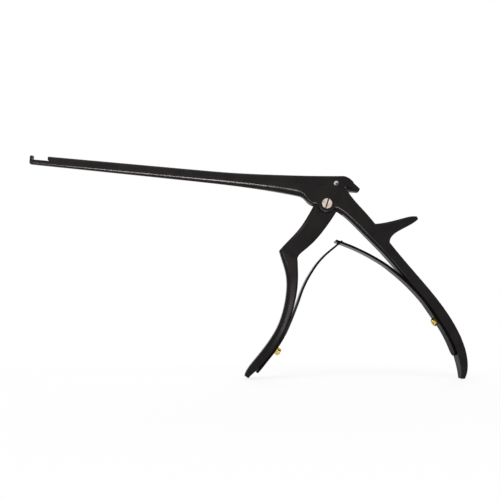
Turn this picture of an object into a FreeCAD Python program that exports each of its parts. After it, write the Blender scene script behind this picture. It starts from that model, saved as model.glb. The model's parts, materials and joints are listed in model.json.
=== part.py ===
import FreeCAD, Part
import math
import os
from FreeCAD import Placement, Rotation, Vector

# A bone rongeur of the punch kind. Squeezing the handles drives a slide along a fixed shaft
# until its cutting rim meets the foot plate and bites off the bone held between them.
# It is drawn about its pivot: x runs rearwards along the slide, z runs up from the pivot to
# the sliding faces, and y runs across, with the screw head on the low side. Millimetres.

# How the finished instrument stands
shaft_rise = 5.15           # degrees that the shaft climbs towards the jaw

# Jaw, shaft and slide
guide_height = 11.8         # pivot axis up to the sliding faces
tip_reach = 196.3           # pivot axis forward to the outer face of the foot
bite_width = 4.2
jaw_opening = 10.3
jaw_closed_gap = 0.15
foot_thickness = 1.6
foot_height = 2.75          # above the sliding faces
foot_rounding = 0.9
foot_chamfer = 0.5
foot_root = 0.5             # the rounding where the foot rises from the shaft
tip_depth = 2.95            # shaft below the sliding faces, at the foot
steady_deepening = 2.4      # what the shaft gains evenly on its way to the head
late_deepening = 2.75       # what it gains mostly near the head
late_power = 7.5
belly_drop = 5.1            # the last step down to the cheeks
belly_front = 18.2
belly_back = 9.0
cheek_front = 6.4           # where the tapered shaft ends in the cheeks
tip_rounding = 1.15
head_rounding = 3.3
cheek_rounding = 1.2
neck_reach = 72.0           # where the slim shaft starts to widen
neck_width = 5.2
head_front = 24.0           # where it has the full width of the head
head_width = 10.0
slide_height = 2.9
slide_rounding = 1.0
crown_rise = 4.2            # what the slide gains in height towards its tail
crown_power = 2.2
rise_start = 84.0
running_gap = 0.06
foot_base = 1.5             # how far the foot's own body reaches behind it
shaft_stations = 14
belly_stations = 6
slide_stations = 20
tail_stations = 5

# The slide's tail: the full width ends behind the drive pin, and a web goes on between the cheeks
tail_start = 9.0
tail_back = 15.9
tail_drop = 3.2
web_front = 12.0
web_depth = 2.2             # below the sliding faces
web_tip = 20.9
web_slant = 2.4
web_rounding = 0.9
cup_length = 4.0            # the hollow behind the cutting rim
cup_wall = 0.6
relief = 0.55               # takes the slide's lower front edge clear of the foot's rounding

# Tee guides that hold the slide down on the shaft
front_guide_setback = 12.4  # behind the slide's front
front_guide_width = 2.6
rear_guide_reach = 62.0
rear_guide_width = 3.2
guide_length = 8.0
guide_neck = 1.4
neck_height = 0.7
tee_height = 0.8
groove_runout = 0.3
drop_in_room = 1.0

# Fork, lever and drive
pivot_radius = 2.2
cheek_lobe = 6.1
tail_crease = 10.2          # where the sliding faces end
head_corner = (13.4, 8.4)
root_low = (4.5, -3.0)      # where the front of the rear handle starts, inside the lobe
fork_width = 5.4
side_play = 0.2             # between a cheek and what runs beside it
blade_width = fork_width - 2 * side_play
fork_cutter_radius = 12.3
fork_front = 9.7
fork_floor = 8.4            # behind the pivot, for the web
hub_radius = 8.2
arm_width = 7.5
pin_rise = 1.74             # drive pin above the sliding faces
pin_back = 4.81             # drive pin behind the pivot, jaw open
pin_radius = 1.55
pin_play = 0.16
prong_reach = 1.86          # prongs beyond the pin's centre
lever_pocket = 5.4          # half the length of the slide's pocket for the lever
pocket_headroom = 0.5
shoulder_top = ((-7.9, 2.3), (0.0, 4.0))    # from the lever's blade up to its hub
cutting_room = 1.0          # how far a cut runs past what it cuts

# Pivot screw
screw_head_radius = 3.6
screw_head_seat = 1.3
screw_head_height = 1.7
screw_head_rounding = 0.3
screw_thread_radius = 1.8
screw_slot_width = 0.7
screw_slot_depth = 0.7
screw_slot_tilt = 12.0
screw_end_gap = 0.1
pin_dimple = 0.6

# Leaf springs and their screws
leaf_width = 11.0
rear_leaf_thickness = (1.9, 1.15)       # on the handle and at the tip
rear_leaf_seated = 0.45                 # the share of its length that keeps the first thickness
lever_leaf_thickness = (1.7, 0.95)
leaf_thinning = 0.4                     # the share of a leaf over which it thins
leaf_tail_share = 0.9                   # where the lever spring ends between two stations
rear_tail_share = 0.15
lever_leaf_seated = 0.25
lever_leaf_lift = 0.6                   # the lever spring's end stands off the curled grip
leaf_bedding = 0.3          # how deep a spring lies in its handle
tongue_width = 4.0
tongue_length = 6.5
tongue_clearance = 0.4
leaf_stations = 16
leaf_tail_rounding = 4.0
spring_screw_head_radius = 2.7
spring_screw_head_height = 2.9
spring_screw_rounding = 0.4
spring_screw_radius = 1.4
spring_screw_depth = 3.4
spring_screw_slot = 0.8
spring_screw_slot_depth = 0.9
rear_screw_sink = 0.9       # the thick rear leaf takes part of its screw's head
screw_seat_play = 0.12
rear_screw_share = 0.3      # where a screw sits between two stations of its grip
lever_screw_share = 0.1

# Handles, as sections square to the grip: x, z, heading in degrees, depth, width across
rear_grip = [
    (18.8, -4.6, -44, 11.0, head_width),
    (28.0, -12.7, -43, 10.0, 10.2),
    (37.8, -22.0, -44, 8.3, 10.8),
    (47.7, -31.6, -45, 7.3, 11.6),
    (58.1, -41.7, -46, 7.0, 12.4),
    (69.0, -52.1, -48, 6.6, 13.0),
    (79.4, -63.5, -51, 6.8, 13.6),
    (88.6, -75.5, -57, 6.4, 14.0),
    (95.4, -88.2, -66, 5.8, 14.0),
    (98.6, -99.5, -78, 4.2, 12.4),
    (98.8, -105.7, -84, 2.8, 8.0),
]
lever_blade = [
    (-1.0, -3.8, -98, 15.6, blade_width),
    (-3.5, -8.7, -113, 14.5, blade_width),
    (-7.0, -15.1, -119, 13.7, 6.4),
    (-11.1, -21.4, -126, 12.9, 8.6),
    (-16.2, -27.5, -126, 12.0, 10.2),
    (-22.1, -35.5, -110, 13.0, 11.0),
]
lever_grip = [
    (-22.1, -35.5, -110, 13.0, 11.0),
    (-19.5, -43.0, -78, 8.8, 11.3),
    (-17.9, -52.0, -85, 7.3, 11.8),
    (-17.8, -62.0, -95, 6.6, 12.2),
    (-19.4, -73.6, -102, 5.9, 12.6),
    (-22.5, -84.7, -110, 5.7, 13.0),
    (-27.5, -95.0, -119, 5.8, 13.0),
    (-33.7, -104.8, -126, 5.8, 12.6),
    (-39.5, -112.7, -123, 4.8, 11.5),
    (-42.0, -117.2, -115, 3.2, 9.0),
]
spur = [
    (36.6, -17.2, 46, 21.0, 10.4),
    (38.8, -14.7, 43, 13.4, 10.4),
    (42.5, -12.3, 36, 9.5, 10.0),
    (49.6, -8.6, 31, 6.8, 8.8),
    (57.3, -4.8, 30, 4.4, 7.0),
    (60.0, -3.6, 30, 2.2, 5.0),
]
grip_rounding = 1.3
root_rounding = 2.1         # the softer front edges where the rear handle leaves the head
root_stations = 3           # over which they sharpen to the grip's own
corner_rounding = 0.4       # the crisper back edges at the head's corner
finger_rounding = 2.6       # the softer outer edges that the fingers close on
spur_rounding = 2.4
rear_leaf_free = [
    (44.6, -38.1),
    (35.1, -33.0),
    (22.4, -27.8),
    (13.1, -24.9),
    (7.9, -23.6),
]
rear_leaf_stations = (8, 7, 6, 5)
lever_leaf_free = [
    (-17.7, -81.3),
    (-16.2, -76.7),
    (-13.2, -66.4),
    (-10.5, -56.2),
    (-6.3, -46.0),
    (-0.2, -36.0),
    (8.2, -27.1),
    (12.5, -23.1),
]
lever_leaf_stations = (7, 6, 5)
palm_saddle = (42.7, -18.9)


pin_height = guide_height + pin_rise
arm_reach = pin_height + prong_reach
pocket_roof = arm_reach + pocket_headroom
foot_inner = -tip_reach + foot_thickness
slide_front = foot_inner + jaw_opening
travel = jaw_opening - jaw_closed_gap


def ease(share):
    share = max(0.0, min(1.0, share))
    return share * share * (3.0 - 2.0 * share)


def turned(angle, x, z):
    c, s = math.cos(math.radians(angle)), math.sin(math.radians(angle))
    return x * c - z * s, x * s + z * c


def shaft_share(x):
    """How far from the foot towards the belly, 0 to 1."""
    return (x + tip_reach) / (tip_reach - belly_front)


def shaft_width(x):
    slim = bite_width + (neck_width - bite_width) * min(1.0, (x + tip_reach) / (tip_reach - neck_reach))
    return slim + (head_width - slim) * ease((x + neck_reach) / (neck_reach - head_front))


def belly_share(x):
    return ease((x + belly_front) / (belly_front - belly_back))


def shaft_depth(x):
    share = shaft_share(x)
    share = min(1.0, share)
    late = late_deepening * share ** late_power
    return tip_depth + steady_deepening * share + late + belly_drop * belly_share(x)


def shaft_rounding(x):
    rounding = tip_rounding + (head_rounding - tip_rounding) * min(1.0, shaft_share(x)) ** 1.7
    return rounding + (cheek_rounding - rounding) * belly_share(x)


def slide_top(x):
    share = max(0.0, (min(x, tail_start) + rise_start) / (rise_start + tail_start))
    fall = max(0.0, (x - tail_start) / (tail_back - tail_start))
    return guide_height + slide_height + crown_rise * share ** crown_power - tail_drop * fall ** 2


def wire_of(points):
    return Part.makePolygon([*points, points[0]])


def d_section(x, width, flat, crown, rounding):
    """A section square to the shaft: flat on the sliding face, rounded on the other."""
    half = width / 2.0
    up = 1.0 if crown > flat else -1.0
    bend = rounding * (1.0 - math.sqrt(0.5))
    near = [Vector(x, -half, flat), Vector(x, -half, crown - up * rounding),
            Vector(x, -half + bend, crown - up * bend), Vector(x, -half + rounding, crown)]
    far = [Vector(x, -p.y, p.z) for p in near]
    return Part.Wire([
        Part.makeLine(far[0], near[0]),
        Part.makeLine(near[0], near[1]),
        Part.Arc(near[1], near[2], near[3]).toShape(),
        Part.makeLine(near[3], far[3]),
        Part.Arc(far[3], far[2], far[1]).toShape(),
        Part.makeLine(far[1], far[0]),
    ])


def grip_section(station, low_rounding, high_rounding):
    """A rounded oblong square to a handle; high is the side to the left of its heading."""
    x, z, heading, depth, width = station
    left = turned(heading, 0.0, 1.0)
    low_rounding = min(low_rounding, 0.45 * depth, 0.45 * width)
    high_rounding = min(high_rounding, 0.45 * depth, 0.45 * width)

    def place(across, side):
        return Vector(x + left[0] * across, side, z + left[1] * across)

    def corner(a, b, rounding):
        bend = rounding * (1.0 - math.sqrt(0.5))
        on_side = place(a * (depth / 2.0 - rounding), b * width / 2.0)
        on_face = place(a * depth / 2.0, b * (width / 2.0 - rounding))
        middle = place(a * (depth / 2.0 - bend), b * (width / 2.0 - bend))
        return (on_face, middle, on_side) if a == b else (on_side, middle, on_face)

    corners = [corner(-1, -1, low_rounding), corner(1, -1, high_rounding),
               corner(1, 1, high_rounding), corner(-1, 1, low_rounding)]
    edges = []
    for number, (start, middle, end) in enumerate(corners):
        edges.append(Part.Arc(start, middle, end).toShape())
        edges.append(Part.makeLine(end, corners[(number + 1) % 4][0]))
    return Part.Wire(edges)


def loft(sections):
    return Part.makeLoft(sections, True, False)


def grip(stations, low_rounding, high_rounding):
    return loft([grip_section(s, low_rounding, high_rounding) for s in stations])


def root_station():
    """The section where the rear handle leaves the head, from the lobe to the head's corner."""
    run, rise = head_corner[0] - root_low[0], head_corner[1] - root_low[1]
    heading = math.degrees(math.atan2(-run, rise))
    middle = ((head_corner[0] + root_low[0]) / 2.0, (head_corner[1] + root_low[1]) / 2.0)
    return (*middle, heading, math.hypot(run, rise), head_width)


def rear_handle():
    sections = [grip_section(root_station(), root_rounding, corner_rounding)]
    for number, station in enumerate(rear_grip):
        softer = max(0.0, 1.0 - number / root_stations) * (root_rounding - grip_rounding)
        sections.append(grip_section(station, grip_rounding + softer, grip_rounding))
    return loft(sections)


def plate(points, width):
    """A flat plate of an outline given as x, z, centred across the instrument."""
    outline = wire_of([Vector(x, -width / 2.0, z) for x, z in points])
    return Part.Face(outline).extrude(Vector(0, width, 0))


def block(x_low, x_high, width, z_low, z_high):
    return Part.makeBox(x_high - x_low, width, z_high - z_low, Vector(x_low, -width / 2.0, z_low))


def across(x, z, radius, y_low, y_high):
    """A round bar or bore that runs across the instrument."""
    return Part.makeCylinder(radius, y_high - y_low, Vector(x, y_low, z), Vector(0, 1, 0))


def stations_between(low, high, count):
    return [low + (high - low) * number / (count - 1) for number in range(count)]


def tee(reach, width, gap, extra_front, extra_back):
    """A tee rail under the slide, or with a gap the groove that it runs in."""
    front = -reach - extra_front
    back = -reach + guide_length + extra_back
    neck_low = guide_height - neck_height
    neck = block(front, back, guide_neck + 2 * gap, neck_low, guide_height + 2 * running_gap)
    head = block(front, back, width + 2 * gap, neck_low - tee_height - gap, neck_low + gap)
    return neck.fuse(head)


def guide_groove(reach, width):
    """The groove, and behind it the open pocket where the rail is dropped in."""
    groove = tee(reach, width, running_gap, travel + groove_runout, 0.0)
    pocket_back = -reach + 2 * guide_length + drop_in_room
    depth = neck_height + tee_height + running_gap
    pocket = block(-reach + guide_length, pocket_back, width + 4 * running_gap,
                   guide_height - depth, guide_height + running_gap)
    return groove.fuse(pocket)


def foot():
    """The upright plate that the bone is held against."""
    crown = guide_height + foot_height
    low = guide_height - tip_depth
    outline = [Vector(-tip_reach, -bite_width / 2.0, low), Vector(-tip_reach, bite_width / 2.0, low),
               Vector(-tip_reach, bite_width / 2.0, crown), Vector(-tip_reach, -bite_width / 2.0, crown)]
    body = Part.Face(wire_of(outline)).extrude(Vector(foot_thickness + foot_base, 0, 0))
    body = body.cut(block(foot_inner, 0, bite_width + 1, guide_height, crown + 1))
    along = [e for e in body.Edges if abs(e.tangentAt(e.FirstParameter).x) > 0.99]
    bottom = [e for e in along if abs(e.CenterOfMass.z - low) < 0.01]
    top = [e for e in along if abs(e.CenterOfMass.z - crown) < 0.01]
    body = body.makeFillet(tip_rounding, bottom)
    top_corners = [e for e in body.Edges if abs(e.CenterOfMass.z - crown) < 0.01
                   and abs(e.tangentAt(e.FirstParameter).x) > 0.99]
    body = body.makeFillet(foot_rounding, top_corners)
    outer = [e for e in body.Edges if e.BoundBox.XMax < -tip_reach + 0.01]
    body = body.makeChamfer(foot_chamfer, outer)
    root = [e for e in body.Edges if abs(e.CenterOfMass.x - foot_inner) < 0.01
            and abs(e.CenterOfMass.z - guide_height) < 0.01]
    return body.makeFillet(foot_root, root)


def shaft():
    def section(x):
        return d_section(x, shaft_width(x), guide_height, guide_height - shaft_depth(x), shaft_rounding(x))

    taper = loft([section(x) for x in stations_between(foot_inner, -belly_front, shaft_stations)])
    belly = loft([section(x) for x in stations_between(-belly_front, -cheek_front, belly_stations)])
    return taper.fuse(belly)


def head():
    """The cheeks with their lobes about the pivot."""
    low = guide_height - shaft_depth(-cheek_front)
    body = plate([(-cheek_front, guide_height), (tail_crease, guide_height), head_corner, root_low,
                  (-cheek_front, low)], head_width)
    lobe = across(0, 0, cheek_lobe, -head_width / 2.0, head_width / 2.0)
    rims = [e for e in lobe.Edges if e.BoundBox.YLength < 0.01]
    return body.fuse(lobe.makeFillet(cheek_rounding, rims))


def fork_slot():
    """The slot between the cheeks, cut with a disc cutter about the pivot."""
    disc = across(0, 0, fork_cutter_radius, -fork_width / 2.0, fork_width / 2.0)
    well = block(-fork_front, fork_front, fork_width, 0.0, guide_height + 1)
    rear = block(0.0, 2 * tail_back, fork_width, fork_floor, guide_height + 1)
    trim = block(-fork_cutter_radius - 1, -fork_front, fork_width + 1, -1.0, guide_height + 1)
    return disc.cut(trim).fuse([well, rear])


def pivot_bores():
    half = head_width / 2.0
    seat = across(0, 0, screw_head_radius + running_gap, -half - 1, -half + screw_head_seat)
    near = across(0, 0, pivot_radius + running_gap, -half, 0)
    far = across(0, 0, screw_thread_radius, 0, half + 1)
    return seat.fuse([near, far])


def frame():
    body = foot().fuse([shaft(), head(), rear_handle()])
    body = body.fuse(grip(spur, spur_rounding, spur_rounding))
    body = body.cut(guide_groove(-slide_front - front_guide_setback, front_guide_width))
    body = body.cut(guide_groove(rear_guide_reach, rear_guide_width))
    body = body.cut(fork_slot()).cut(pivot_bores())
    return body.cut(rear_leaf_blank()).cut(screw_shank(rear_screw_place()))


def slide():
    low = guide_height + running_gap

    def section(x):
        return d_section(x, shaft_width(x), low, slide_top(x), slide_rounding)

    body = loft([section(x) for x in stations_between(slide_front, tail_start, slide_stations)])
    tail = loft([section(x) for x in stations_between(tail_start, tail_back, tail_stations)])
    front_guide_reach = -slide_front - front_guide_setback
    body = body.fuse([tail, tail_web(),
                      tee(front_guide_reach, front_guide_width, 0.0, 0.0, -running_gap),
                      tee(rear_guide_reach, rear_guide_width, 0.0, 0.0, -running_gap)])
    pocket = block(pin_back - lever_pocket, pin_back + lever_pocket, fork_width, low - 1, pocket_roof)
    pin_bore = across(pin_back, pin_height, pin_radius, -head_width, head_width)
    return body.cut([pocket, pin_bore, bite_cup(), front_relief()])


def front_relief():
    corner = Part.makeBox(2 * relief, 2 * bite_width, 2 * relief, Vector(-relief, -bite_width, -relief))
    corner.rotate(Vector(0, 0, 0), Vector(0, 1, 0), 45.0)
    corner.translate(Vector(slide_front, 0, guide_height))
    return corner


def tail_web():
    """The narrow lower part of the tail, which runs between the cheeks."""
    base = guide_height - web_depth
    inside = guide_height + slide_height
    body = plate([(web_front, inside), (web_front, base + web_slant / 2.0), (web_front + web_slant, base),
                  (web_tip - web_rounding, base), (web_tip, base + web_depth),
                  (tail_back, slide_top(tail_back) - running_gap), (tail_back - web_slant, inside)], blade_width)
    tips = [e for e in body.Edges
            if e.BoundBox.YLength > blade_width / 2.0 and e.CenterOfMass.x > web_tip - 2 * web_rounding]
    return body.makeFillet(web_rounding, tips)


def bite_cup():
    """The hollow behind the cutting rim, which takes the bitten piece."""
    low = guide_height + running_gap + cup_wall
    high = guide_height + slide_height - cup_wall
    body = block(slide_front - 1, slide_front + cup_length, bite_width - 2 * cup_wall, low, high)
    along = [e for e in body.Edges if abs(e.tangentAt(e.FirstParameter).x) > 0.99]
    return body.makeFillet(0.8 * cup_wall, along)


def front_handle():
    """The lever: a flat blade between the cheeks that widens into the finger grip."""
    hub = across(0, 0, hub_radius, -blade_width / 2.0, blade_width / 2.0)
    x, z, heading, depth, _ = lever_blade[0]
    left = turned(heading, 0.0, depth / 2.0)
    base = [(x + left[0], z + left[1]), (x - left[0], z - left[1])]
    shoulder = plate([*base, *shoulder_top], blade_width)
    body = hub.fuse([shoulder, lever_arm()])
    upper = grip(lever_blade, finger_rounding, grip_rounding)
    lower = grip(lever_grip, finger_rounding, grip_rounding)
    body = body.fuse([upper, lower])
    body = body.cut(across(0, 0, pivot_radius + running_gap, -head_width, head_width))
    return body.cut(lever_leaf_blank()).cut(screw_shank(lever_screw_place()))


def lever_arm():
    """The forked top of the lever, whose prongs straddle the drive pin."""
    lean = math.degrees(math.atan2(pin_back, pin_height))
    arm = block(-arm_width / 2.0, arm_width / 2.0, blade_width, 0.0, arm_reach + cutting_room)
    round_end = across(0, 0, arm_reach, -blade_width / 2.0, blade_width / 2.0)
    gap = pin_radius + pin_play
    gap_floor = across(0, pin_height, gap, -blade_width, blade_width)
    gap_cut = block(-gap, gap, 2 * blade_width, pin_height, 2 * arm_reach)
    body = arm.common(round_end).cut(gap_floor).cut(gap_cut)
    body.rotate(Vector(0, 0, 0), Vector(0, 1, 0), lean)
    return body


def pivot_screw():
    half = head_width / 2.0
    head_low = -half + screw_head_seat - screw_head_height
    body = across(0, 0, screw_head_radius, head_low, -half + screw_head_seat)
    rim = [e for e in body.Edges if e.BoundBox.YMax < head_low + 0.01]
    body = body.makeFillet(screw_head_rounding, rim)
    shoulder_end = fork_width / 2.0
    body = body.fuse([across(0, 0, pivot_radius, -half, shoulder_end),
                      across(0, 0, screw_thread_radius, 0, half - screw_end_gap)])
    slot = Part.makeBox(screw_slot_width, screw_slot_depth + 1, 4 * screw_head_radius,
                        Vector(-screw_slot_width / 2.0, head_low - 1, -2 * screw_head_radius))
    slot.rotate(Vector(0, 0, 0), Vector(0, 1, 0), screw_slot_tilt)
    return body.cut(slot)


def drive_pin():
    half = head_width / 2.0
    body = across(pin_back, pin_height, pin_radius, -half, half)
    near = Part.makeCone(pin_dimple, 0.0, pin_dimple, Vector(pin_back, -half, pin_height), Vector(0, 1, 0))
    far = Part.makeCone(pin_dimple, 0.0, pin_dimple, Vector(pin_back, half, pin_height), Vector(0, -1, 0))
    return body.cut([near, far])


def face_point(station, side, offset):
    """A point off a handle's face: side 1 is to the left of its heading, -1 to the right."""
    x, z, heading, depth, _ = station
    left = turned(heading, 0.0, side * (depth / 2.0 + offset))
    return x + left[0], z + left[1]


def curve_of(points):
    curve = Part.BSplineCurve()
    curve.interpolate([Vector(x, 0, z) for x, z in points])
    return curve


def leaf_blank(points, thickness, seated, width):
    """A leaf along a line of points from its end on the handle to its free end."""
    curve = curve_of(points)
    first, last = curve.FirstParameter, curve.LastParameter
    upper = []
    lower = []
    for share in stations_between(0.0, 1.0, leaf_stations):
        at = curve.value(first + (last - first) * share)
        along = curve.tangent(first + (last - first) * share)[0]
        thinning = ease((share - seated) / leaf_thinning)
        half = (thickness[0] + (thickness[1] - thickness[0]) * thinning) / 2.0
        upper.append((at.x - along.z * half, at.z + along.x * half))
        lower.append((at.x + along.z * half, at.z - along.x * half))
    ends = [(upper[-1], lower[-1]), (lower[0], upper[0])]
    lines = [Part.makeLine(Vector(a[0], 0, a[1]), Vector(b[0], 0, b[1])) for a, b in ends]
    outline = Part.Wire([curve_of(upper).toShape(), lines[0], curve_of(lower[::-1]).toShape(), lines[1]])
    body = Part.Face(outline).extrude(Vector(0, width, 0))
    body.translate(Vector(0, -width / 2.0, 0))
    tail = lines[1].CenterOfMass
    corners = [e for e in body.Edges if abs(e.CenterOfMass.y) > width / 4.0
               and math.hypot(e.CenterOfMass.x - tail.x, e.CenterOfMass.z - tail.z) < 0.01]
    return body.makeFillet(leaf_tail_rounding, corners)


def rear_leaf_line():
    offset = rear_leaf_thickness[0] / 2.0 - leaf_bedding
    end = between(rear_grip[rear_leaf_stations[0]], rear_grip[rear_leaf_stations[0] + 1], rear_tail_share)
    seated = [face_point(rear_grip[number], -1, offset) for number in rear_leaf_stations]
    return [face_point(end, -1, offset), *seated, *rear_leaf_free]


def lever_leaf_line():
    offset = lever_leaf_thickness[0] / 2.0 - leaf_bedding
    seated = [face_point(lever_grip[number], 1, offset) for number in lever_leaf_stations]
    last = lever_leaf_stations[0]
    end = between(lever_grip[last], lever_grip[last + 1], leaf_tail_share)
    lifted = face_point(end, 1, lever_leaf_thickness[0] / 2.0 + lever_leaf_lift)
    return [lifted, *seated, *lever_leaf_free]


def rear_leaf_blank():
    return leaf_blank(rear_leaf_line(), rear_leaf_thickness, rear_leaf_seated, leaf_width)


def lever_leaf_blank():
    return leaf_blank(lever_leaf_line(), lever_leaf_thickness, lever_leaf_seated, leaf_width)


def screw_place(station, side, height):
    """Where a spring screw's head sits, at a height over the grip, and the way it points."""
    x, z = face_point(station, side, height)
    out = turned(station[2], 0.0, side)
    return Vector(x, 0, z), Vector(out[0], 0, out[1])


def between(one, other, share):
    return tuple(a + (b - a) * share for a, b in zip(one, other))


def rear_screw_place():
    station = between(rear_grip[6], rear_grip[7], rear_screw_share)
    return screw_place(station, -1, rear_leaf_thickness[0] - leaf_bedding - rear_screw_sink)


def lever_screw_place():
    station = between(lever_grip[6], lever_grip[7], lever_screw_share)
    return screw_place(station, 1, lever_leaf_thickness[0] - leaf_bedding)


def screw_shank(place):
    at, out = place
    start = at + out * cutting_room
    return Part.makeCylinder(spring_screw_radius, spring_screw_depth + cutting_room, start, out * -1.0)


def screw_seat(place):
    """The flat seat that a spring screw's head beds on."""
    at, out = place
    return Part.makeCylinder(spring_screw_head_radius + screw_seat_play, spring_screw_head_height, at, out)


def spring_screw(place):
    at, out = place
    head_part = Part.makeCylinder(spring_screw_head_radius, spring_screw_head_height, at, out)
    top = at + out * spring_screw_head_height
    rim = [e for e in head_part.Edges if (e.CenterOfMass - top).Length < 0.05]
    head_part = head_part.makeFillet(spring_screw_rounding, rim)
    shank = Part.makeCylinder(spring_screw_radius, spring_screw_depth, at, out * -1.0)
    slot_side = out.cross(Vector(0, 1, 0)) * spring_screw_slot
    slot_run = Vector(0, 2 * spring_screw_head_radius, 0)
    corner = top - slot_side * 0.5 - slot_run * 0.5 - out * spring_screw_slot_depth
    slot = wire_of([corner, corner + slot_side, corner + slot_side + slot_run, corner + slot_run])
    slot = Part.Face(slot).extrude(out * 2 * spring_screw_slot_depth)
    return head_part.fuse(shank).cut(slot)


def leaf_tip(points):
    """Where a leaf's free end is, and the way it points."""
    curve = curve_of(points)
    at = curve.value(curve.LastParameter)
    along = curve.tangent(curve.LastParameter)[0]
    return at, along


def front_leaf_spring():
    """Its tip is cut back to a tongue that passes through the other spring."""
    blank = lever_leaf_blank()
    at, along = leaf_tip(lever_leaf_line())
    start = at - along * tongue_length
    up = along.cross(Vector(0, 1, 0))
    for side in (-1, 1):
        y = side * (tongue_width / 2.0)
        corner = start - up * leaf_width / 2.0 + Vector(0, y, 0)
        run, rise = along * 2 * leaf_width, up * leaf_width
        waste = wire_of([corner, corner + run, corner + run + rise, corner + rise])
        blank = blank.cut(Part.Face(waste).extrude(Vector(0, side * leaf_width, 0)))
    return blank.cut([screw_shank(lever_screw_place()), screw_seat(lever_screw_place())])


def rear_leaf_spring():
    """Its free end has the window that takes the other spring's tongue."""
    blank = rear_leaf_blank()
    at, along = leaf_tip(lever_leaf_line())
    up = along.cross(Vector(0, 1, 0))
    half = tongue_width / 2.0 + tongue_clearance
    room = lever_leaf_thickness[1] / 2.0 + tongue_clearance
    corner = at - along * (tongue_length + cutting_room) - up * room - Vector(0, half, 0)
    run, rise = along * 2 * (tongue_length + cutting_room), up * 2 * room
    window = wire_of([corner, corner + run, corner + run + rise, corner + rise])
    blank = blank.cut(Part.Face(window).extrude(Vector(0, 2 * half, 0)))
    return blank.cut([screw_shank(rear_screw_place()), screw_seat(rear_screw_place())])


PARTS = {
    "frame": frame,
    "slide": slide,
    "front_handle": front_handle,
    "pivot_screw": pivot_screw,
    "drive_pin": drive_pin,
    "front_leaf_spring": front_leaf_spring,
    "rear_leaf_spring": rear_leaf_spring,
    "front_spring_screw": lambda: spring_screw(lever_screw_place()),
    "rear_spring_screw": lambda: spring_screw(rear_screw_place()),
}


def standing():
    """The way from the drawing about the pivot to the instrument as it stands."""
    tilt = Placement(Vector(0, 0, 0), Rotation(Vector(0, 1, 0), shaft_rise))
    saddle = tilt.multVec(Vector(palm_saddle[0], 0, palm_saddle[1]))
    return Placement(saddle * -1.0, Rotation()).multiply(tilt)


os.makedirs("parts", exist_ok=True)
stand = standing()
for name, make in PARTS.items():
    shape = make()
    shape.Placement = stand.multiply(shape.Placement)
    solids = shape.Solids
    whole = solids[0] if len(solids) == 1 else Part.makeCompound(solids)
    whole.exportStep("parts/" + name + ".step")
    print(name, len(solids), "solid", "valid" if whole.isValid() else "NOT VALID", round(whole.Volume, 1), "mm3")
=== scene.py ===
# %% [markdown]
# A bone punch of surgical steel: a slide runs forward on a slim shaft when the handles are
# squeezed. Its rigid pieces come from the construction model, apart from two small screws, so
# this notebook first loads that model and keeps its box, to show at the end that no piece grew
# out of it.

# %% Load the construction model
import bpy
import json
import math
from mathutils import Matrix, Vector


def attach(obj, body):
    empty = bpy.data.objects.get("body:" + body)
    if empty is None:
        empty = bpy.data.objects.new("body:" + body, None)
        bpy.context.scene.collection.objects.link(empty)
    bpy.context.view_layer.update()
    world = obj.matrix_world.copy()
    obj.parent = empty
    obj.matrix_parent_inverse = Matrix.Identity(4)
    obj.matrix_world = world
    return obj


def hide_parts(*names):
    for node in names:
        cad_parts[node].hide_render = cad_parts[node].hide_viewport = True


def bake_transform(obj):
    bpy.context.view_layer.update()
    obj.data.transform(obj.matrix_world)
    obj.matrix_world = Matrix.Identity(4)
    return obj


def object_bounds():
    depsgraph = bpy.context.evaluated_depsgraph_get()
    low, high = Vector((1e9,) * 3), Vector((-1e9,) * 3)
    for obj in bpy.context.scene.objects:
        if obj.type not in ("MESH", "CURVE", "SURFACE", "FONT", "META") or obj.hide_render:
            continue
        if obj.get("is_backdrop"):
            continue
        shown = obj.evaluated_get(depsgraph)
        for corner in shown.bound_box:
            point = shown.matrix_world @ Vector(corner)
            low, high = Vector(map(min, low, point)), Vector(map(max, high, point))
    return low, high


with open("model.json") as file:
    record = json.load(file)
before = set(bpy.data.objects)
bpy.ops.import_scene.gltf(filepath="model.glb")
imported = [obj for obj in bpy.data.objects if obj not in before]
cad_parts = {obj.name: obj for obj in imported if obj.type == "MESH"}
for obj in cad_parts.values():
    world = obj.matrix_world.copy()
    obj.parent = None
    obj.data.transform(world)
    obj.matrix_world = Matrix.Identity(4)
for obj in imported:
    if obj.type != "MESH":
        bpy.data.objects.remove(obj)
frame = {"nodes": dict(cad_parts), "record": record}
cad_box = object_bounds()
print("nodes:", sorted(frame["nodes"]))

# %% [markdown]
# The instrument was drawn about its pivot, with the shaft level, and stands with the shaft
# climbing a little. Points on it are easiest to write as on that drawing, in millimetres, so
# one helper turns a drawing point into a place in the scene, in metres.

# %% From the drawing to the scene
SHAFT_RISE = math.radians(5.15)
MM = 0.001
PIVOT = Vector(frame["record"]["behaviour"]["joints"][0]["pos_m"])
SHAFT_TIP = (-196.3, 11.8)


def stand(x, z, y=0.0):
    """The scene place of a drawing point: x rearwards, z up, y across, in millimetres."""
    c, s = math.cos(SHAFT_RISE), math.sin(SHAFT_RISE)
    return PIVOT + MM * Vector((x * c + z * s, y, z * c - x * s))


print("tip of the shaft at", [round(v, 4) for v in stand(*SHAFT_TIP)])

# %% [markdown]
# The photograph looks square at the instrument's side from about half a metre. Its perspective
# centre lies a little below the middle of the picture, because the undersides of the springs
# and of the tail show. A level camera with a small vertical shift gives just that, and keeps
# upright edges upright, which tilting the camera would not.

# %% Camera
PIXEL = 0.65 * MM                     # on the near side of the head
PICTURE = 500
PIVOT_PIXEL = (327.1, 203.4)
CENTRE_PIXEL = (250.0, 300.0)         # where the picture's perspective runs to
NEAR_SIDE = -5.0 * MM
DISTANCE = 0.45
SENSOR_WIDTH = 36.0                   # in millimetres, as Blender counts lenses and sensors

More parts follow.
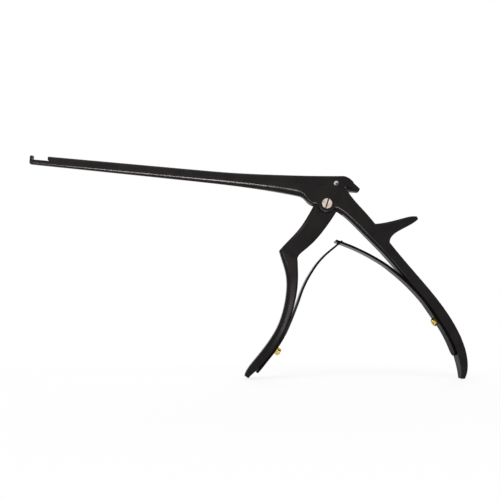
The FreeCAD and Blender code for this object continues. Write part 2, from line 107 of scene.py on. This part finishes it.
camera_data = bpy.data.cameras.new("studio camera")
camera_data.sensor_width = SENSOR_WIDTH
camera_data.lens = SENSOR_WIDTH * DISTANCE / (PICTURE * PIXEL)
camera_data.shift_y = (CENTRE_PIXEL[1] - PICTURE / 2) / PICTURE
camera = bpy.data.objects.new("studio camera", camera_data)
camera.location = (
    PIVOT.x + (CENTRE_PIXEL[0] - PIVOT_PIXEL[0]) * PIXEL,
    NEAR_SIDE - DISTANCE,
    PIVOT.z + (PIVOT_PIXEL[1] - CENTRE_PIXEL[1]) * PIXEL,
)
camera.rotation_euler = (math.radians(90), 0, 0)
bpy.context.collection.objects.link(camera)
bpy.context.scene.camera = camera
bpy.context.scene.view_settings.view_transform = "Standard"
print("lens", round(camera_data.lens, 2), "mm, shift", round(camera_data.shift_y, 3))

# %% [markdown]
# Materials and Geometry Nodes are both trees of nodes. One helper adds a node, sets it up and
# links it, whatever its kind. A second does arithmetic with such nodes, and a third turns a
# colour written as #rrggbb into Blender's linear values.

# %% Helpers for nodes and colours
def add(tree, kind, inputs=None, **settings):
    """Adds a node. Inputs are values, or output sockets to link from."""
    node = tree.nodes.new(kind)
    for name, value in settings.items():
        setattr(node, name, value)
    for key, value in (inputs or {}).items():
        if isinstance(value, bpy.types.NodeSocket):
            tree.links.new(value, node.inputs[key])
        else:
            node.inputs[key].default_value = value
    return node


def sums(tree, operation, *values):
    """A chain of one math operation over values or sockets."""
    result = values[0]
    for value in values[1:]:
        result = add(tree, "ShaderNodeMath", {0: result, 1: value}, operation=operation).outputs[0]
    return result


def paint(code):
    """A colour written as #rrggbb, as linear values."""
    channels = [int(code[i:i + 2], 16) / 255 for i in (1, 3, 5)]
    linear = [c / 12.92 if c <= 0.04045 else ((c + 0.055) / 1.055) ** 2.4 for c in channels]
    return (*linear, 1.0)


def new_tree(name):
    """A new material, and its empty tree."""
    material = bpy.data.materials.new(name)
    material.use_nodes = True
    material.node_tree.nodes.clear()
    return material, material.node_tree


# %% [markdown]
# The picture is a cut-out on white. The floor and the world are white where the camera or a
# mirror-like surface sees them, which takes no extra light on the instrument. Round the
# handles the floor keeps a share of plain white paint, which takes a faint shadow, and that
# share fades out with distance, so that no horizon shows.

# %% Stage
SHADOW_SHARE = 0.2
SHADOW_REACH = (0.12, 0.35)           # from the instrument's middle: full share, and none
WORLD_LIGHT = 0.5
FLOOR_GAP = 0.2 * MM
FLOOR_REACH = 4.0
middle = (cad_box[0] + cad_box[1]) / 2
floor_height = cad_box[0].z - FLOOR_GAP


def seen_directly(tree):
    """1 for rays that see the background itself: camera, glossy and transmission rays."""
    path = add(tree, "ShaderNodeLightPath").outputs
    return sums(tree, "MAXIMUM", path["Is Camera Ray"], path["Is Glossy Ray"], path["Is Transmission Ray"])


floor_paint, tree = new_tree("white matt floor")
place = add(tree, "ShaderNodeTexCoord").outputs["Object"]
distance = add(tree, "ShaderNodeVectorMath", {0: place, 1: (middle.x, middle.y, floor_height)},
               operation="DISTANCE").outputs["Value"]
share = add(tree, "ShaderNodeMapRange", {
    "Value": distance, "From Min": SHADOW_REACH[0], "From Max": SHADOW_REACH[1],
    "To Min": 1.0 - SHADOW_SHARE, "To Max": 1.0,
}, interpolation_type="SMOOTHSTEP").outputs[0]
seen = sums(tree, "MULTIPLY", seen_directly(tree), share)
matt = add(tree, "ShaderNodeBsdfDiffuse", {"Color": paint("#ffffff")})
white = add(tree, "ShaderNodeEmission", {"Color": paint("#ffffff"), "Strength": 1.0})
mixed = add(tree, "ShaderNodeMixShader", {0: seen, 1: matt.outputs[0], 2: white.outputs[0]})
add(tree, "ShaderNodeOutputMaterial", {"Surface": mixed.outputs[0]})

floor_mesh = bpy.data.meshes.new("floor")
corners = [(x * FLOOR_REACH, y * FLOOR_REACH, floor_height) for x, y in ((-1, -1), (1, -1), (1, 1), (-1, 1))]
floor_mesh.from_pydata(corners, [], [(0, 1, 2, 3)])
floor = bpy.data.objects.new("floor", floor_mesh)
floor_mesh.materials.append(floor_paint)
bpy.context.collection.objects.link(floor)
floor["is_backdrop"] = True

world = bpy.data.worlds.new("white tent")
bpy.context.scene.world = world
world.use_nodes = True
world.node_tree.nodes.clear()
tree = world.node_tree
strength = add(tree, "ShaderNodeMapRange", {
    "Value": seen_directly(tree), "To Min": WORLD_LIGHT, "To Max": 1.0,
})
sky = add(tree, "ShaderNodeBackground", {"Color": paint("#ffffff"), "Strength": strength.outputs[0]})
add(tree, "ShaderNodeOutputWorld", {"Surface": sky.outputs[0]})
print("floor at", round(floor_height, 4))

# %% [markdown]
# A broad soft box above gives the plain light of the room, and one behind keeps the far side
# from going flat. The photograph also shows narrow light lines along the lower rounded edges of
# the shaft and, fainter, of the rear handle. So a long strip light stands low in front, and a
# short, weaker one to the right of it, where just those edges mirror them. A narrow spread, as
# with barn doors, keeps their light off the handles below. Lamps are hidden from the camera.
# Places and sizes are in metres, powers in watts and spreads in degrees.

# %% Lamps
def soft_box(name, place, aim, power, width, height, spread=180):
    """A rectangular lamp that faces its aim."""
    lamp = bpy.data.lights.new(name, "AREA")
    lamp.shape = "RECTANGLE"
    lamp.energy, lamp.size, lamp.size_y = power, width, height
    lamp.spread = math.radians(spread)
    lamp_object = bpy.data.objects.new(name, lamp)
    lamp_object.location = place
    lamp_object.rotation_euler = (Vector(aim) - Vector(place)).to_track_quat("-Z", "Y").to_euler()
    lamp_object.visible_camera = False
    bpy.context.collection.objects.link(lamp_object)


soft_box("upper soft box", place=(-0.25, -0.35, 0.75), aim=middle, power=3.0, width=0.6, height=0.4)
soft_box("back soft box", place=(0.05, 0.6, 0.35), aim=middle, power=2.2, width=0.6, height=0.4)
soft_box("low strip light", place=(-0.235, -0.27, -0.06), aim=(-0.25, 0.0, 0.11),
         power=0.46, width=0.23, height=0.04, spread=70)
soft_box("short strip light", place=(-0.048, -0.27, -0.06), aim=(-0.12, 0.0, 0.11),
         power=0.085, width=0.07, height=0.04, spread=70)

# %% [markdown]
# The instrument is stainless steel, blasted with fine glass beads and coated black by vapour
# deposition. The coat is a conducting nitride, so it mirrors as a very dark metal does, and is
# near black with a trace of warm brown. Faces that the eye sees at a slant stay darker than
# those of a pale metal, which the edge tint of the shader gives, and only the last few degrees
# shine grey. The beads leave a grain of about 0.1 mm, drawn at 0.3 mm so that it shows at all.

# %% Black coating
CLOUD_SIZE = 9 * MM
RELIEF = 0.02 * MM                    # how far a bump texture seems to rise
MOST_NOISE = (0.3, 0.7)               # the range that most of a noise texture's values lie in


def object_point(tree, shift=(0, 0, 0), turn=(0, 0, 0)):
    """The shaded place, seen from a shifted and turned origin."""
    place = add(tree, "ShaderNodeTexCoord").outputs["Object"]
    return add(tree, "ShaderNodeMapping", {"Vector": place, "Location": shift, "Rotation": turn},
               vector_type="TEXTURE").outputs[0]


def grain(tree, point, size):
    """Noise whose spots are about one size across, in metres."""
    return add(tree, "ShaderNodeTexNoise", {"Vector": point, "Scale": 1.0 / size, "Detail": 2.0}).outputs[0]


def blend_colours(tree, factor, first, second):
    """A mix of two colours, each of them a socket or linear values."""
    return add(tree, "ShaderNodeMix", {0: factor, 6: first, 7: second}, data_type="RGBA").outputs[2]


def between_values(tree, noise, low, high):
    """A noise spread out from a low to a high value."""
    return add(tree, "ShaderNodeMapRange", {
        "Value": noise, "From Min": MOST_NOISE[0], "From Max": MOST_NOISE[1], "To Min": low, "To Max": high,
    }).outputs[0]


def black_coat(name, dark, light, roughness, bead, edge_tint):
    material, tree = new_tree(name)
    point = object_point(tree)
    beads = grain(tree, point, bead)
    clouds = between_values(tree, grain(tree, point, CLOUD_SIZE), 0.0, 1.0)
    bump = add(tree, "ShaderNodeBump", {"Height": beads, "Strength": 0.05, "Distance": RELIEF})
    coat = add(tree, "ShaderNodeBsdfPrincipled", {
        "Base Color": blend_colours(tree, clouds, paint(dark), paint(light)),
        "Roughness": between_values(tree, beads, roughness - 0.03, roughness + 0.04),
        "Metallic": 0.85,
        "Specular IOR Level": 0.2,
        "Specular Tint": paint(edge_tint),
        "Normal": bump.outputs[0],
    })
    add(tree, "ShaderNodeOutputMaterial", {"Surface": coat.outputs[0]})
    return material


blasted_black = black_coat("black coat on blasted steel", "#1f1d1d", "#262323",
                           roughness=0.22, bead=0.3 * MM, edge_tint="#b8b8b8")
spring_black = black_coat("black coat on polished spring steel", "#0a0a0a", "#101010",
                          roughness=0.18, bead=0.5 * MM, edge_tint="#959595")

# %% [markdown]
# The pivot screw and the drive pin are bare stainless steel, turned on a lathe, and the spring
# screws are gilt brass. Turning leaves fine rings about the axis, which spread the light into a
# soft fan. A wave texture in rings about the piece's own axis makes them, at 0.3 mm pitch.
# Painted shade darkens the slots and, on the pivot screw and the pin, whatever lies deeper than
# the end face. A ring of painted shadow fills the gap round the pivot screw's sunk head, and one
# side of the pin's end gets painted shade. The metals and coats are a guess from how the
# photograph looks.

# %% Turned steel and gold coloured screws
RING_PITCH = 0.3 * MM
SPOT_SIZE = 2.5 * MM
SUNK = (-2.2 * MM, -0.15 * MM)        # how deep the painted shade lies, measured from the end face
SUNK_SOFTNESS = 0.05 * MM
SLOT_HALF = 0.48 * MM
EDGE_SOFTNESS = 0.06 * MM
PIN_SHADE_MOST = 0.96                      # the most that the painted shade hides on the pin's shaded side
PIN_SHADE_FADE = (-0.4 * MM, 0.6 * MM)     # painted shade from none to the most, across the pin's end
FACE_TOLERANCE = 0.02 * MM


def end_face(node, axis):
    """The middle of the end face of a turned piece."""
    corners = [corner.co for corner in frame["nodes"][node].data.vertices]
    farthest = max(corner.dot(axis) for corner in corners)
    face = [corner for corner in corners if farthest - corner.dot(axis) < FACE_TOLERANCE]
    return Vector([(min(c[i] for c in face) + max(c[i] for c in face)) / 2 for i in range(3)])


def within(tree, value, low, high, soft):
    """1 where a value lies between two others, with soft ends."""
    rises = add(tree, "ShaderNodeMapRange", {
        "Value": value, "From Min": low - soft, "From Max": low + soft,
    }).outputs[0]
    falls = add(tree, "ShaderNodeMapRange", {
        "Value": value, "From Min": high - soft, "From Max": high + soft, "To Min": 1.0, "To Max": 0.0,
    }).outputs[0]
    return sums(tree, "MULTIPLY", rises, falls)


def along_way(tree, centre, way):
    """How far a point lies from a centre, in one direction."""
    return add(tree, "ShaderNodeVectorMath", {0: object_point(tree, centre), 1: way},
               operation="DOT_PRODUCT").outputs["Value"]


def turned_metal(name, node, axis, light, shade, roughness, painted_shade_colour="#1d1512", slot_across=None,
                 shadow_from_radius=None, shaded_side=None):
    """Turned metal, with painted shade in its slot, and beyond a radius or on one side of its end face."""
    material, tree = new_tree(name)
    axis = Vector(axis).normalized()
    centre = end_face(node, axis)
    point = object_point(tree, centre, Vector((0, 0, 1)).rotation_difference(axis).to_euler())
    height = add(tree, "ShaderNodeSeparateXYZ", {0: point}).outputs[2]
    rings = add(tree, "ShaderNodeTexWave", {
        "Vector": point, "Scale": math.pi / (10 * RING_PITCH), "Distortion": 0.4, "Detail": 1.0,
    }, wave_type="RINGS", rings_direction="Z").outputs[1]
    spots = grain(tree, point, SPOT_SIZE)
    bump = add(tree, "ShaderNodeBump", {"Height": rings, "Strength": 0.25, "Distance": RELIEF})
    # Painted shade in hollows: what lies deeper than the end face is darkened, kept to the slot where one is
    # given, or joined by the whole slot where a radius is given too.
    dark = within(tree, height, *SUNK, SUNK_SOFTNESS)
    if slot_across is not None:
        in_slot = within(tree, along_way(tree, centre, slot_across), -SLOT_HALF, SLOT_HALF, EDGE_SOFTNESS)
        dark = sums(tree, "MULTIPLY" if shadow_from_radius is None else "MAXIMUM", dark, in_slot)
    # Painted shadow in the gap round the sunk head: a ring beyond the given radius is darkened.
    if shadow_from_radius is not None:
        flat = add(tree, "ShaderNodeVectorMath", {0: point, 1: (1, 1, 0)}, operation="MULTIPLY").outputs[0]
        radius = add(tree, "ShaderNodeVectorMath", {0: flat}, operation="LENGTH").outputs["Value"]
        rim = within(tree, radius, shadow_from_radius, 2 * shadow_from_radius, EDGE_SOFTNESS)
        dark = sums(tree, "MAXIMUM", dark, rim)
    # Painted shade on one side of the pin's end, growing towards the rear and down.
    if shaded_side is not None:
        side_shade = add(tree, "ShaderNodeMapRange", {
            "Value": along_way(tree, centre, shaded_side),
            "From Min": PIN_SHADE_FADE[0], "From Max": PIN_SHADE_FADE[1], "To Max": PIN_SHADE_MOST,
        }).outputs[0]
        dark = sums(tree, "MAXIMUM", dark, side_shade)
    metal = blend_colours(tree, between_values(tree, spots, 0.0, 1.0), paint(light), paint(shade))
    # Where the painted shade lies, the metal gives way to a dark, non-metal colour.
    shader = add(tree, "ShaderNodeBsdfPrincipled", {
        "Base Color": blend_colours(tree, dark, metal, paint(painted_shade_colour)),
        "Metallic": sums(tree, "SUBTRACT", 1.0, dark),
        "Roughness": between_values(tree, spots, roughness - 0.03, roughness + 0.05),
        "Normal": bump.outputs[0],
    })
    add(tree, "ShaderNodeOutputMaterial", {"Surface": shader.outputs[0]})
    return material


def drawing_way(x, z):
    """A direction on the drawing, in the scene."""
    return (stand(x, z) - PIVOT).normalized()


TO_CAMERA = (0, -1, 0)
ACROSS_PIVOT_SLOT = drawing_way(0.978, -0.208)
PIN_SHADED_SIDE = drawing_way(0.75, -0.66)
# The pivot screw gets painted shade in its slot and a ring of painted shadow round its head; the pin gets
# painted shade in its hollow and on one side of its end.
turned_steel = turned_metal("turned stainless steel", "pivot_screw", TO_CAMERA, "#d8ccc0", "#a19486",
                            roughness=0.3, slot_across=ACROSS_PIVOT_SLOT, shadow_from_radius=3.2 * MM)
ground_pin = turned_metal("ground steel pin", "drive_pin", TO_CAMERA, "#cfcac4", "#a8a29b",
                          roughness=0.26, shaded_side=PIN_SHADED_SIDE)
print("turned steel for the pivot screw and the pin")

# %% [markdown]
# Each spring screw stands square to its leaf. Its slot came to rest at a turn of its own, and
# the gilt paint needs to know where the slot lies, so that it can paint shade in there.

# %% Where the spring screws point
SCREW_WAYS = {"front": drawing_way(0.8686, -0.4955), "rear": drawing_way(-0.7965, -0.6046)}
SLOT_TURNS = {"front": math.radians(-22), "rear": math.radians(-70)}


def screw_axes(way):
    """The x, y and z of a spring screw in the scene: z out of its head, y across the instrument."""
    across = Vector((0, 1, 0))
    return across.cross(way), across, way


def across_slot(way, turn):
    """The direction across a spring screw's slot, which is turned about the screw's axis."""
    x, y, _ = screw_axes(way)
    return math.cos(turn) * x + math.sin(turn) * y


gilt_brass = {}
# The gilt screws get painted shade, in dark brown, down in their slots.
for side, way in SCREW_WAYS.items():
    gilt_brass[side] = turned_metal("gilt brass, " + side + " screw", side + "_spring_screw", way,
                                    "#dfc470", "#b3914a", roughness=0.2, painted_shade_colour="#54390f",
                                    slot_across=across_slot(way, SLOT_TURNS[side]))
print("gilt brass for the", " and ".join(gilt_brass), "screws")

# %% [markdown]
# Five rigid pieces of the construction model already have the right shapes, so each only gets
# its finish, in the material slot of its own object. The leaves and the spring screws are made
# anew further down.

# %% Finishes on the rigid pieces
FINISHES = {
    "frame": blasted_black,
    "slide": blasted_black,
    "front_handle": blasted_black,
    "pivot_screw": turned_steel,
    "drive_pin": ground_pin,
}
for name, finish in FINISHES.items():
    node = frame["nodes"][name]
    node.data.materials.clear()
    node.data.materials.append(finish)
print("finished", len(FINISHES), "rigid pieces")

# %% [markdown]
# The two leaf springs bend when the handles close, so rigid solids cannot stand for them. Each
# is a strip of spring steel that follows a path, thick where it is screwed down and thin at its
# free end. One tree of Geometry Nodes makes both: it lays a box of many small cells along the
# path, gives each station its width and thickness, and rounds the tail. The front leaf ends in
# a narrow tongue. The rear leaf has a window that takes the tongue, cut with a boolean.

# %% A tree of nodes for a leaf spring
LEAF_INPUTS = {
    "Path": ("NodeSocketObject", None),
    "Width": ("NodeSocketFloat", 11.0 * MM),
    "Seated thickness": ("NodeSocketFloat", 1.9 * MM),
    "Tip thickness": ("NodeSocketFloat", 1.15 * MM),
    "Seated share": ("NodeSocketFloat", 0.45),
    "Thinning share": ("NodeSocketFloat", 0.4),
    "Tail rounding": ("NodeSocketFloat", 4.0 * MM),
    "Tongue width": ("NodeSocketFloat", 4.0 * MM),
    "Tongue length": ("NodeSocketFloat", 0.0),
    "Has window": ("NodeSocketBool", False),
    "Window size": ("NodeSocketVector", (15.0 * MM, 4.8 * MM, 1.75 * MM)),
    "Window place": ("NodeSocketVector", (0, 0, 0)),
    "Window lean": ("NodeSocketFloat", 0.0),
    "Finish": ("NodeSocketMaterial", None),
}
LEAF_POINTS = {"Vertices X": 141, "Vertices Y": 12, "Vertices Z": 3}


def tree_with_inputs(name, result, inputs):
    """A new tree of Geometry Nodes, and the identifier of each of its inputs."""
    tree = bpy.data.node_groups.new(name, "GeometryNodeTree")
    tree.interface.new_socket(result, in_out="OUTPUT", socket_type="NodeSocketGeometry")
    identifiers = {}
    for label, (kind, value) in inputs.items():
        socket = tree.interface.new_socket(label, in_out="INPUT", socket_type=kind)
        if value is not None:
            socket.default_value = value
        identifiers[label] = socket.identifier
    return tree, identifiers


def close_tree(tree, geometry, finish, result):
    """Ends a tree of Geometry Nodes with real, finished geometry."""
    real = add(tree, "GeometryNodeRealizeInstances", {0: geometry}).outputs[0]
    finished = add(tree, "GeometryNodeSetMaterial", {"Geometry": real, "Material": finish}).outputs[0]
    add(tree, "NodeGroupOutput", {result: finished})


def vectors(tree, operation, first, second):
    """One vector operation on two vectors, or on a vector and the number that scales it."""
    slot = "Scale" if operation == "SCALE" else 1
    return add(tree, "ShaderNodeVectorMath", {0: first, slot: second}, operation=operation).outputs[0]


leaf_tree, leaf_sockets = tree_with_inputs("leaf spring", "Leaf", LEAF_INPUTS)
given = add(leaf_tree, "NodeGroupInput").outputs
path_curve = add(leaf_tree, "GeometryNodeObjectInfo", {"Object": given["Path"]}).outputs["Geometry"]
path_length = add(leaf_tree, "GeometryNodeCurveLength", {0: path_curve}).outputs[0]
cells = add(leaf_tree, "GeometryNodeMeshCube", {"Size": (1, 1, 1), **LEAF_POINTS}).outputs[0]
position = add(leaf_tree, "GeometryNodeInputPosition").outputs[0]
cell = add(leaf_tree, "ShaderNodeSeparateXYZ", {0: position}).outputs
along = sums(leaf_tree, "ADD", cell[0], 0.5)
station = add(leaf_tree, "GeometryNodeSampleCurve", {"Curves": path_curve, "Factor": along}, mode="FACTOR",
              use_all_curves=True).outputs
print("leaf spring tree started with", len(LEAF_INPUTS), "inputs")

# %% Width and thickness at each station
from_tail = sums(leaf_tree, "MULTIPLY", along, path_length)
from_tip = sums(leaf_tree, "SUBTRACT", path_length, from_tail)
rounding = given["Tail rounding"]
inside = sums(leaf_tree, "MAXIMUM", sums(leaf_tree, "SUBTRACT", rounding, from_tail), 0.0)
rounding_square = sums(leaf_tree, "MULTIPLY", rounding, rounding)
inside_square = sums(leaf_tree, "MULTIPLY", inside, inside)
round_square = sums(leaf_tree, "MAXIMUM", sums(leaf_tree, "SUBTRACT", rounding_square, inside_square), 0.0)
rounded = add(leaf_tree, "ShaderNodeMath", {0: round_square}, operation="SQRT").outputs[0]
half_straight = sums(leaf_tree, "SUBTRACT", sums(leaf_tree, "MULTIPLY", given["Width"], 0.5), rounding)
half_width = sums(leaf_tree, "ADD", half_straight, rounded)
in_tongue = sums(leaf_tree, "LESS_THAN", from_tip, given["Tongue length"])
half_tongue = sums(leaf_tree, "MULTIPLY", given["Tongue width"], 0.5)
half_width = add(leaf_tree, "ShaderNodeMix", {0: in_tongue, 2: half_width, 3: half_tongue}).outputs[0]
thinned = sums(leaf_tree, "ADD", given["Seated share"], given["Thinning share"])
thickness = add(leaf_tree, "ShaderNodeMapRange", {
    "Value": along, "From Min": given["Seated share"], "From Max": thinned,
    "To Min": given["Seated thickness"], "To Max": given["Tip thickness"],
}, interpolation_type="SMOOTHSTEP").outputs[0]

# %% Laying the cells along the path
upwards = vectors(leaf_tree, "CROSS_PRODUCT", station["Tangent"], (0, 1, 0))
upwards = add(leaf_tree, "ShaderNodeVectorMath", {0: upwards}, operation="NORMALIZE").outputs[0]
lift = vectors(leaf_tree, "SCALE", upwards, sums(leaf_tree, "MULTIPLY", cell[2], thickness))
sideways = vectors(leaf_tree, "SCALE", (0, 2, 0), sums(leaf_tree, "MULTIPLY", cell[1], half_width))
placed = vectors(leaf_tree, "ADD", vectors(leaf_tree, "ADD", station["Position"], lift), sideways)
strip = add(leaf_tree, "GeometryNodeSetPosition", {"Geometry": cells, "Position": placed}).outputs[0]
cutter = add(leaf_tree, "GeometryNodeMeshCube", {"Size": given["Window size"]}).outputs[0]
lean = add(leaf_tree, "ShaderNodeCombineXYZ", {1: given["Window lean"]}).outputs[0]
cutter = add(leaf_tree, "GeometryNodeTransform", {
    "Geometry": cutter, "Translation": given["Window place"], "Rotation": lean,
}).outputs[0]
windowed = add(leaf_tree, "GeometryNodeMeshBoolean", {0: strip, 1: cutter}, operation="DIFFERENCE",
               solver="EXACT").outputs[0]
chosen = add(leaf_tree, "GeometryNodeSwitch", {
    "Switch": given["Has window"], "False": strip, "True": windowed,
}, input_type="GEOMETRY").outputs[0]
close_tree(leaf_tree, chosen, given["Finish"], "Leaf")
print("leaf spring tree has", len(leaf_tree.nodes), "nodes")

# %% [markdown]
# Each leaf has its own path, written as on the drawing from its tail to its free end. The tree
# runs on an empty mesh, its result becomes a plain mesh, and a fine bevel breaks the ground
# edges, as on real springs, so that they catch the light. Hardened normals keep the flats flat.

# %% Making the leaves
LEAF_PATHS = {
    "rear": [(92.7, -91.2), (92.2, -89.6), (85.4, -77.6), (76.2, -66.0), (66.1, -54.7), (44.6, -38.1),
             (35.1, -33.0), (22.4, -27.8), (13.1, -24.9), (7.9, -23.6)],
    "front": [(-35.7, -114.0), (-30.9, -106.8), (-24.5, -96.7), (-19.3, -85.9), (-17.7, -81.3),
              (-16.2, -76.7), (-13.2, -66.4), (-10.5, -56.2), (-6.3, -46.0), (-0.2, -36.0),
              (8.2, -27.1), (12.5, -23.1)],
}
TONGUE = [stand(*point) for point in LEAF_PATHS["front"][-2:]]
PATH_STEPS = 16
SHARP = math.radians(40)              # edges that turn by more than this are broken


def path_object(name, points):
    """A smooth curve through points of the drawing."""
    curve = bpy.data.curves.new(name, "CURVE")
    curve.dimensions, curve.resolution_u = "3D", PATH_STEPS
    spline = curve.splines.new("BEZIER")
    spline.bezier_points.add(len(points) - 1)
    for knot, (x, z) in zip(spline.bezier_points, points):
        knot.co = stand(x, z)
        knot.handle_left_type = knot.handle_right_type = "AUTO"
    path = bpy.data.objects.new(name, curve)
    bpy.context.collection.objects.link(path)
    return path


def settled(source, name):
    """A new plain object with the mesh that the source's modifiers give."""
    graph = bpy.context.evaluated_depsgraph_get()
    mesh = bpy.data.meshes.new_from_object(source.evaluated_get(graph), depsgraph=graph)
    result = bpy.data.objects.new(name, mesh)
    bpy.context.collection.objects.link(result)
    bpy.data.objects.remove(source)
    return result


def made_by(tree, sockets, name, values, edge_break, steps):
    """A plain object with the mesh that a tree of Geometry Nodes makes, its sharp edges broken."""
    host = bpy.data.objects.new(name + " host", bpy.data.meshes.new(name + " host"))
    bpy.context.collection.objects.link(host)
    maker = host.modifiers.new("maker", "NODES")
    maker.node_group = tree
    for label, value in values.items():
        maker[sockets[label]] = value
    blank = settled(host, name + " blank")
    blank.data.polygons.foreach_set("use_smooth", [True] * len(blank.data.polygons))
    edges = blank.modifiers.new("edge break", "BEVEL")
    edges.width, edges.segments, edges.angle_limit = edge_break, steps, SHARP
    edges.harden_normals = True
    return settled(blank, name)


def leaf_spring(name, points, sizes):
    path = path_object(name + " path", points)
    values = {"Path": path, "Finish": spring_black, **sizes}
    leaf = made_by(leaf_tree, leaf_sockets, name, values, edge_break=0.12 * MM, steps=2)
    bpy.data.objects.remove(path)
    return leaf


tongue_way = (TONGUE[1] - TONGUE[0]).normalized()
rear_leaf = leaf_spring("rear_spring_leaf", LEAF_PATHS["rear"], {
    "Tip thickness": 1.45 * MM,
    "Has window": True,
    "Window place": TONGUE[1],
    "Window lean": -math.atan2(tongue_way.z, tongue_way.x),
})
front_leaf = leaf_spring("front_spring_leaf", LEAF_PATHS["front"], {
    "Seated thickness": 1.7 * MM,
    "Tip thickness": 1.2 * MM,
    "Seated share": 0.25,
    "Thinning share": 0.7,
    "Tongue length": 6.5 * MM,
})
for leaf in (rear_leaf, front_leaf):
    print(leaf.name, len(leaf.data.polygons), "faces", [round(v, 4) for v in leaf.dimensions])

# %% [markdown]
# A leaf follows its own handle where it is screwed down, and at its free end moves half as far
# as the other handle does, because both free ends are held together. Here each leaf only has
# its place baked into its mesh, and the construction model's leaf is hidden.

# %% Leaves baked in place
def bends_to_meeting(leaf, node):
    """Bakes a leaf's place into its mesh and hides the construction model's own leaf."""
    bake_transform(leaf)
    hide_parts(node)


bends_to_meeting(rear_leaf, node="rear_leaf_spring")
bends_to_meeting(front_leaf, node="front_leaf_spring")

# %% [markdown]
# A small cheese head screw holds each leaf: a flat cylinder with a broken rim and a slot sawn
# across it, on a plain shank. The two are alike but for the turn of their slots, so one more
# tree of Geometry Nodes makes both, standing on the origin. Each finished mesh is then moved to
# where the construction model has the end face of its head.

# %% A tree of nodes for a slotted screw
HEAD_HEIGHT = 2.9 * MM
ROUND_CORNERS = 64                    # corners of a cylinder
SCREW_INPUTS = {
    "Head radius": ("NodeSocketFloat", 2.7 * MM),
    "Head height": ("NodeSocketFloat", HEAD_HEIGHT),
    "Shank radius": ("NodeSocketFloat", 1.4 * MM),
    "Shank length": ("NodeSocketFloat", 3.4 * MM),
    "Slot width": ("NodeSocketFloat", 0.8 * MM),
    "Slot depth": ("NodeSocketFloat", 0.9 * MM),
    "Slot turn": ("NodeSocketFloat", 0.0),
    "Finish": ("NodeSocketMaterial", None),
}
screw_tree, screw_sockets = tree_with_inputs("slotted screw", "Screw", SCREW_INPUTS)
given = add(screw_tree, "NodeGroupInput").outputs


def cylinder(radius, length, rise):
    """A closed cylinder along z, with its middle at a height."""
    blank = add(screw_tree, "GeometryNodeMeshCylinder", {
        "Vertices": ROUND_CORNERS, "Radius": radius, "Depth": length,
    }).outputs[0]
    place = add(screw_tree, "ShaderNodeCombineXYZ", {2: rise}).outputs[0]
    return add(screw_tree, "GeometryNodeTransform", {"Geometry": blank, "Translation": place}).outputs[0]


half_head = sums(screw_tree, "MULTIPLY", given["Head height"], 0.5)
head = cylinder(given["Head radius"], given["Head height"], half_head)
shank = cylinder(given["Shank radius"], sums(screw_tree, "MULTIPLY", given["Shank length"], 2.0), 0.0)
whole = add(screw_tree, "GeometryNodeMeshBoolean", {1: head}, operation="UNION", solver="EXACT")
screw_tree.links.new(shank, whole.inputs[1])
past_the_rim = sums(screw_tree, "MULTIPLY", given["Head radius"], 3.0)
doubled_depth = sums(screw_tree, "MULTIPLY", given["Slot depth"], 2.0)
saw_size = add(screw_tree, "ShaderNodeCombineXYZ", {
    0: given["Slot width"], 1: past_the_rim, 2: doubled_depth,
})
saw_place = add(screw_tree, "ShaderNodeCombineXYZ", {2: given["Head height"]})
saw_turn = add(screw_tree, "ShaderNodeCombineXYZ", {2: given["Slot turn"]})
saw = add(screw_tree, "GeometryNodeMeshCube", {"Size": saw_size.outputs[0]})
saw = add(screw_tree, "GeometryNodeTransform", {
    "Geometry": saw.outputs[0], "Translation": saw_place.outputs[0], "Rotation": saw_turn.outputs[0],
}).outputs[0]
slotted = add(screw_tree, "GeometryNodeMeshBoolean", {0: whole.outputs[0], 1: saw}, operation="DIFFERENCE",
              solver="EXACT").outputs[0]
close_tree(screw_tree, slotted, given["Finish"], "Screw")
print("slotted screw tree has", len(screw_tree.nodes), "nodes")

# %% Making the screws
def spring_screw(side, body):
    name, node, way = side + "_gilt_screw", side + "_spring_screw", SCREW_WAYS[side]
    values = {"Slot turn": SLOT_TURNS[side], "Finish": gilt_brass[side]}
    screw = made_by(screw_tree, screw_sockets, name, values, edge_break=0.22 * MM, steps=3)
    turned = Matrix(screw_axes(way)).transposed().to_4x4()
    screw.data.transform(Matrix.Translation(end_face(node, way) - HEAD_HEIGHT * way) @ turned)
    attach(screw, body)
    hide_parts(node)
    print(name, len(screw.data.polygons), "faces, head at", [round(v, 4) for v in end_face(node, way)])


spring_screw("front", "lever")
spring_screw("rear", "frame")

# %% [markdown]
# Last, the box of the dressed instrument is written beside that of the construction model. The
# two should agree to a fraction of a millimetre, because every piece that is made anew here lies
# inside the box.

# %% Sizes, and the end
bpy.context.view_layer.update()
dressed_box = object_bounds()
growth = [(new - old) / MM for old_corner, new_corner in zip(cad_box, dressed_box)
          for old, new in zip(old_corner, new_corner)]
print("grew by", [round(value, 2) for value in growth], "mm")
